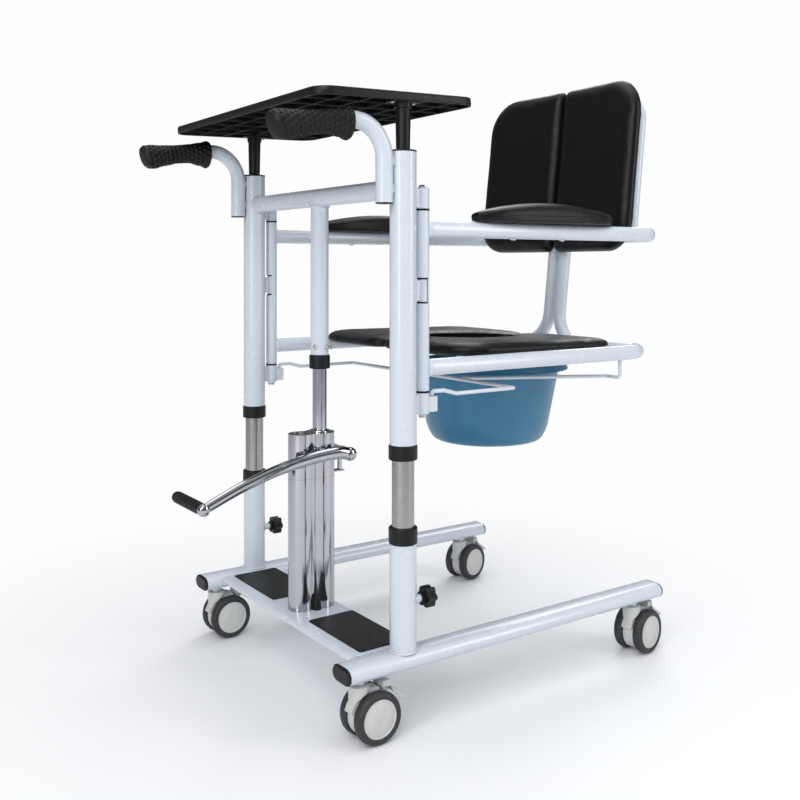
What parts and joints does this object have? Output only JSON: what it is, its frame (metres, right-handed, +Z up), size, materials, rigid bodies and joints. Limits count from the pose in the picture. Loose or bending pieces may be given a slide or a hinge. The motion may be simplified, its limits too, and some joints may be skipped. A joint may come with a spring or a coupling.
{
  "type": "patient transfer lift chair",
  "caption": "Hydraulic patient transfer chair on casters with a split commode seat, swing-out halves, foot plate and tray.",
  "frame": {"origin": "on the floor, under the middle of the object's bounding box", "axes": "+Z up; +X rearwards, from the push handles to the backrest; +Y from the near side in the picture to the far side"},
  "size_m": [1.0517, 0.7006, 1.302],
  "materials": {
    "white_paint": "glossy white powder coat with a cool tone",
    "black_plastic": "moulded black plastic, satin",
    "black_rubber": "black rubber, matt",
    "caster_tyre": "dark grey polyurethane tyre, satin",
    "stainless": "brushed stainless tube",
    "chrome": "polished chrome plate",
    "zinc": "bright zinc plate",
    "black_leather": "black leatherette, satin",
    "grey_plastic": "light grey moulded plastic",
    "blue_plastic": "blue moulded plastic, soft gloss"
  },
  "bodies": {
    "base": {"rail_near": "white_paint", "rail_far": "white_paint", "rail_cap_front_near": "black_plastic", "rail_cap_front_far": "black_plastic", "rail_cap_rear_near": "black_plastic", "rail_cap_rear_far": "black_plastic", "footplate": "white_paint", "foot_pad_near": "black_rubber", "foot_pad_far": "black_rubber", "lower_column_near": "white_paint", "lower_column_far": "white_paint", "inner_column_near": "stainless", "inner_column_far": "stainless", "lower_collar_near": "black_plastic", "lower_collar_far": "black_plastic", "pump_body": "chrome", "pump_head": "chrome"},
    "carriage": {"upper_column_near": "white_paint", "upper_column_far": "white_paint", "upper_collar_near": "black_plastic", "upper_collar_far": "black_plastic", "crossbar": "white_paint", "lift_collar": "black_plastic", "piston_rod": "chrome", "push_handle_near": "white_paint", "push_handle_far": "white_paint", "push_grip_near": "black_rubber", "push_grip_far": "black_rubber", "hinge_pin_near": "zinc", "hinge_pin_far": "zinc", "wire_rack": "white_paint", "tray_post_near": "black_plastic", "tray_post_far": "black_plastic"},
    "seat_near": {"seat_frame_near": "white_paint", "armrest_pad_near": "black_leather", "seat_pad_near": "black_leather", "backrest_cushion_near": "black_leather"},
    "seat_far": {"seat_frame_far": "white_paint", "armrest_pad_far": "black_leather", "seat_pad_far": "black_leather", "backrest_cushion_far": "black_leather"},
    "lever": {"pump_lever": "chrome", "lever_grip": "black_rubber"},
    "tray": {"tray": "black_plastic"},
    "bucket": {"commode_bucket": "blue_plastic"},
    "knob_near": {"clamp_knob_near": "black_plastic"},
    "knob_far": {"clamp_knob_far": "black_plastic"},
    "caster_front_near": {"caster_housing_front_near": "grey_plastic"},
    "caster_front_far": {"caster_housing_front_far": "grey_plastic"},
    "caster_rear_near": {"caster_housing_rear_near": "grey_plastic"},
    "caster_rear_far": {"caster_housing_rear_far": "grey_plastic"},
    "wheels_front_near": {"caster_wheels_front_near": "caster_tyre"},
    "wheels_front_far": {"caster_wheels_front_far": "caster_tyre"},
    "wheels_rear_near": {"caster_wheels_rear_near": "caster_tyre"},
    "wheels_rear_far": {"caster_wheels_rear_far": "caster_tyre"},
    "pedal_front_near": {"brake_pedal_front_near": "grey_plastic"},
    "pedal_front_far": {"brake_pedal_front_far": "grey_plastic"},
    "pedal_rear_near": {"brake_pedal_rear_near": "grey_plastic"},
    "pedal_rear_far": {"brake_pedal_rear_far": "grey_plastic"}
  },
  "joints": [
    {"name": "lift", "type": "slide", "parent": "base", "child": "carriage", "axis": [0, 0, 1], "range_m": [-0.12, 0.06]},
    {"name": "swing_near", "type": "hinge", "parent": "carriage", "child": "seat_near", "pos_m": [-0.1854, -0.3129, 0.79], "axis": [0, 0, -1], "range_deg": [0, 90]},
    {"name": "swing_far", "type": "hinge", "parent": "carriage", "child": "seat_far", "pos_m": [-0.1854, 0.3011, 0.79], "axis": [0, 0, 1], "range_deg": [0, 90]},
    {"name": "lever_pivot", "type": "hinge", "parent": "base", "child": "lever", "pos_m": [-0.1854, -0.0059, 0.462], "axis": [0, -1, 0], "range_deg": [0, 35], "stiffness_Nm_per_rad": 8, "springref_deg": -20.05},
    {"name": "tray_lift_off", "type": "slide", "parent": "carriage", "child": "tray", "axis": [0, 0, 1], "range_m": [0, 0.1]},
    {"name": "bucket_slide", "type": "slide", "parent": "carriage", "child": "bucket", "axis": [1, 0, 0], "range_m": [0, 0.25]},
    {"name": "knob_near_turn", "type": "hinge", "parent": "base", "child": "knob_near", "pos_m": [-0.1744, -0.3129, 0.234], "axis": [1, 0, 0], "continuous": true},
    {"name": "knob_far_turn", "type": "hinge", "parent": "base", "child": "knob_far", "pos_m": [-0.1744, 0.3011, 0.234], "axis": [1, 0, 0], "continuous": true},
    {"name": "swivel_front_near", "type": "hinge", "parent": "base", "child": "caster_front_near", "pos_m": [-0.3274, -0.3129, 0.1], "axis": [0, 0, 1], "continuous": true},
    {"name": "swivel_front_far", "type": "hinge", "parent": "base", "child": "caster_front_far", "pos_m": [-0.3274, 0.3011, 0.1], "axis": [0, 0, 1], "continuous": true},
    {"name": "swivel_rear_near", "type": "hinge", "parent": "base", "child": "caster_rear_near", "pos_m": [0.3876, -0.3129, 0.1], "axis": [0, 0, 1], "continuous": true},
    {"name": "swivel_rear_far", "type": "hinge", "parent": "base", "child": "caster_rear_far", "pos_m": [0.3876, 0.3011, 0.1], "axis": [0, 0, 1], "continuous": true},
    {"name": "spin_front_near", "type": "hinge", "parent": "caster_front_near", "child": "wheels_front_near", "pos_m": [-0.3024, -0.3129, 0.0475], "axis": [0, 1, 0], "continuous": true},
    {"name": "spin_front_far", "type": "hinge", "parent": "caster_front_far", "child": "wheels_front_far", "pos_m": [-0.3024, 0.3011, 0.0475], "axis": [0, 1, 0], "continuous": true},
    {"name": "spin_rear_near", "type": "hinge", "parent": "caster_rear_near", "child": "wheels_rear_near", "pos_m": [0.41222, -0.30856, 0.0475], "axis": [-0.1736, 0.9848, 0], "continuous": true},
    {"name": "spin_rear_far", "type": "hinge", "parent": "caster_rear_far", "child": "wheels_rear_far", "pos_m": [0.41196, 0.30672, 0.0475], "axis": [-0.225, 0.9744, 0], "continuous": true},
    {"name": "pedal_front_near_pivot", "type": "hinge", "parent": "caster_front_near", "child": "pedal_front_near", "pos_m": [-0.2774, -0.3129, 0.0885], "axis": [0, 1, 0], "range_deg": [0, 6]},
    {"name": "pedal_front_far_pivot", "type": "hinge", "parent": "caster_front_far", "child": "pedal_front_far", "pos_m": [-0.2774, 0.3011, 0.0885], "axis": [0, 1, 0], "range_deg": [0, 6]},
    {"name": "pedal_rear_near_pivot", "type": "hinge", "parent": "caster_rear_near", "child": "pedal_rear_near", "pos_m": [0.43684, -0.30422, 0.0885], "axis": [-0.1736, 0.9848, 0], "range_deg": [0, 6]},
    {"name": "pedal_rear_far_pivot", "type": "hinge", "parent": "caster_rear_far", "child": "pedal_rear_far", "pos_m": [0.43632, 0.31235, 0.0885], "axis": [-0.225, 0.9744, 0], "range_deg": [0, 6]}
  ]
}
